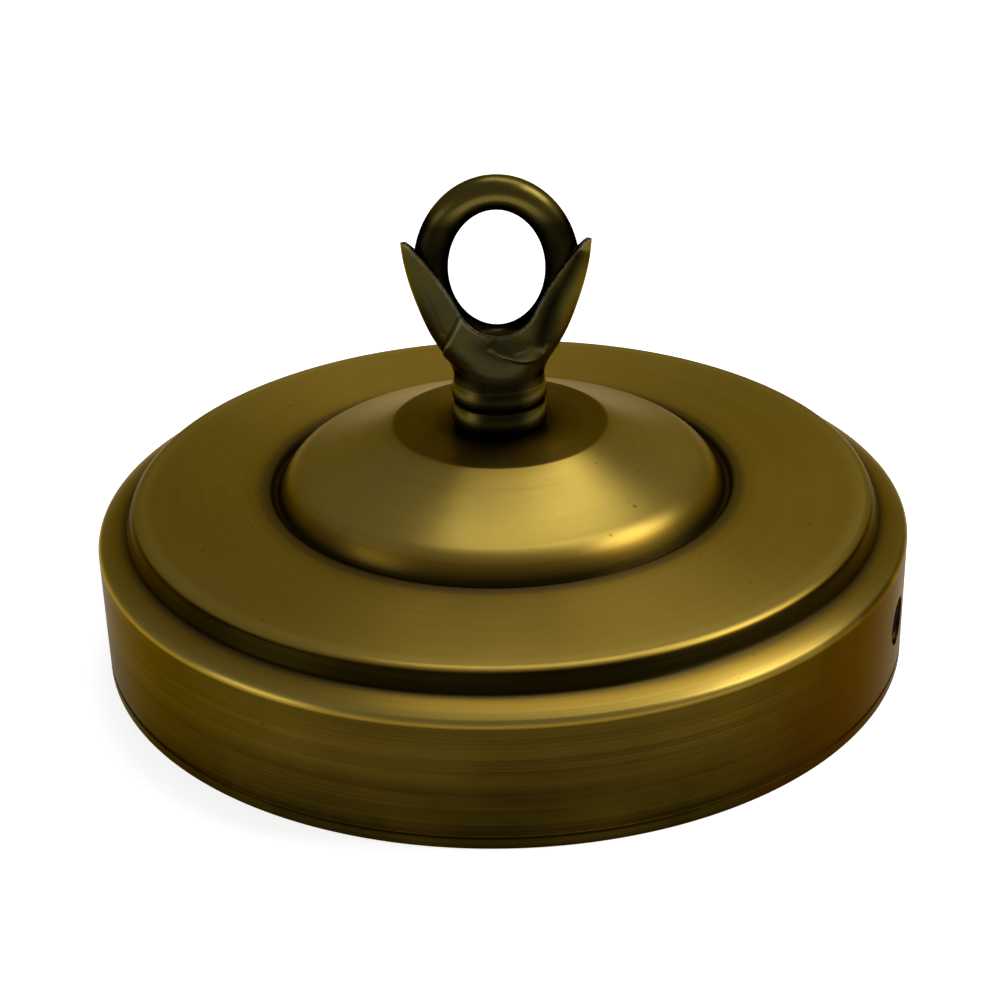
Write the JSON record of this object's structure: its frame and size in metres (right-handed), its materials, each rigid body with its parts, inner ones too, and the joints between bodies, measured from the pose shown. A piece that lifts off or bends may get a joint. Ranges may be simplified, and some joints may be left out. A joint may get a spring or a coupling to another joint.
{
  "type": "ceiling hook",
  "caption": "Round pressed ceiling canopy with a cast ring in a leaf calyx, held by a threaded nipple and nut, and a ceiling strap with set screws inside.",
  "frame": {"origin": "centre of the canopy's open rim, in the rim's plane, which lies against the ceiling", "axes": "+Z along the axis from the rim through the ring, +X in the plane of the ring, -Y the side that faces the viewer"},
  "size_m": [0.108, 0.108, 0.064],
  "materials": {
    "brushed_brass": "antique brass, turned with a fine concentric brushing, darker in the grooves, lacquered",
    "cast_brass": "antique brass casting, dark patina rubbed lighter on the raised edges",
    "plated_steel": "zinc plate, dull",
    "blackened_steel": "black oxide"
  },
  "bodies": {
    "root": {"canopy": "brushed_brass", "ring_hook": "cast_brass", "threaded_nipple": "plated_steel", "flat_washer": "plated_steel", "lock_washer": "plated_steel", "hex_nut": "plated_steel", "ceiling_strap": "plated_steel", "set_screws": "blackened_steel"}
  },
  "joints": []
}
